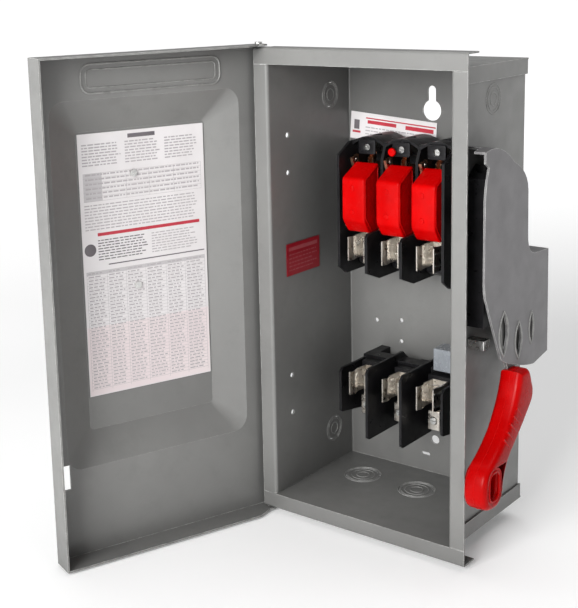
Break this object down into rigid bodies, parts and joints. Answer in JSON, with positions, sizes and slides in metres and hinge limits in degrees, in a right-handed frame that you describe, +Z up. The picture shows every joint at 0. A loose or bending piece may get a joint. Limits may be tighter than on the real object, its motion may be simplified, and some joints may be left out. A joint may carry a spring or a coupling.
{
  "type": "ac disconnect box",
  "caption": "Grey sheet-steel fusible disconnect switch with its door swung open, fuse clips, red blade carriers on a rotor and a red side handle",
  "frame": {"origin": "centre of the flat back face, midway up the enclosure", "axes": "+Z up, -Y out of the door opening, +X towards the handle side"},
  "size_m": [0.3145, 0.3271, 0.4388],
  "materials": {
    "painted_steel": "satin grey enamel with fine orange peel",
    "black_insulator": "moulded black phenolic",
    "red_plastic": "glossy moulded red",
    "tin_plated": "tin-plated copper",
    "zinc_plated": "bright zinc plate",
    "copper": "bare copper",
    "paper_label": "printed vinyl label",
    "red_label": "dark red vinyl label",
    "clear_plastic": "translucent moulded plastic"
  },
  "bodies": {
    "enclosure": {"enclosure_wrap": "painted_steel", "top_end_cap": "painted_steel", "bottom_end_cap": "painted_steel", "top_knockout_1": "painted_steel", "top_knockout_2": "painted_steel", "bottom_knockout_1": "painted_steel", "bottom_knockout_2": "painted_steel", "side_knockout_1": "painted_steel", "side_knockout_2": "painted_steel", "hinge_pin_top": "zinc_plated", "hinge_pin_bottom": "zinc_plated", "side_label": "red_label", "rear_label": "paper_label", "line_base": "black_insulator", "line_clip_holder_1": "black_insulator", "line_fuse_clip_1": "tin_plated", "line_lug_1": "tin_plated", "line_lug_screw_1": "zinc_plated", "line_jaw_1": "copper", "line_clip_holder_2": "black_insulator", "line_fuse_clip_2": "tin_plated", "line_lug_2": "tin_plated", "line_lug_screw_2": "zinc_plated", "line_jaw_2": "copper", "line_clip_holder_3": "black_insulator", "line_fuse_clip_3": "tin_plated", "line_lug_3": "tin_plated", "line_lug_screw_3": "zinc_plated", "line_jaw_3": "copper", "load_base": "black_insulator", "load_fuse_clip_1": "tin_plated", "load_lug_1": "tin_plated", "load_lug_screw_1": "zinc_plated", "load_fuse_clip_2": "tin_plated", "load_lug_2": "tin_plated", "load_lug_screw_2": "zinc_plated", "load_fuse_clip_3": "tin_plated", "load_lug_3": "tin_plated", "load_lug_screw_3": "zinc_plated", "terminal_cover": "clear_plastic", "ground_lug": "zinc_plated", "mechanism_body": "black_insulator", "operating_spring": "zinc_plated", "handle_stop": "zinc_plated", "handle_guard": "painted_steel", "handle_pivot": "zinc_plated"},
    "door": {"door_panel": "painted_steel", "door_label": "paper_label", "label_rivet_1": "zinc_plated", "label_rivet_2": "zinc_plated"},
    "rotor": {"rotor_shaft": "black_insulator", "rotor_crank": "zinc_plated", "blade_carrier_1": "red_plastic", "blade_carrier_2": "red_plastic", "blade_carrier_3": "red_plastic", "rotor_blade_1": "copper", "rotor_blade_2": "copper", "rotor_blade_3": "copper"},
    "handle": {"handle_arm": "painted_steel", "handle_grip": "red_plastic"}
  },
  "joints": [
    {"name": "door_hinge", "type": "hinge", "parent": "enclosure", "child": "door", "pos_m": [-0.1035, -0.1235, 0], "axis": [0, 0, -1], "range_deg": [-110, 40]},
    {"name": "handle_pivot_joint", "type": "hinge", "parent": "enclosure", "child": "handle", "pos_m": [0.1138, -0.072, 0.036], "axis": [-1, 0, 0], "range_deg": [0, 110]},
    {"name": "rotor_turn", "type": "hinge", "parent": "enclosure", "child": "rotor", "pos_m": [0, -0.048, 0.076], "axis": [-1, 0, 0], "range_deg": [0, 44]}
  ],
  "couplings": [
    {"joint": "rotor_turn", "follows": "handle_pivot_joint", "ratio": 0.4}
  ]
}
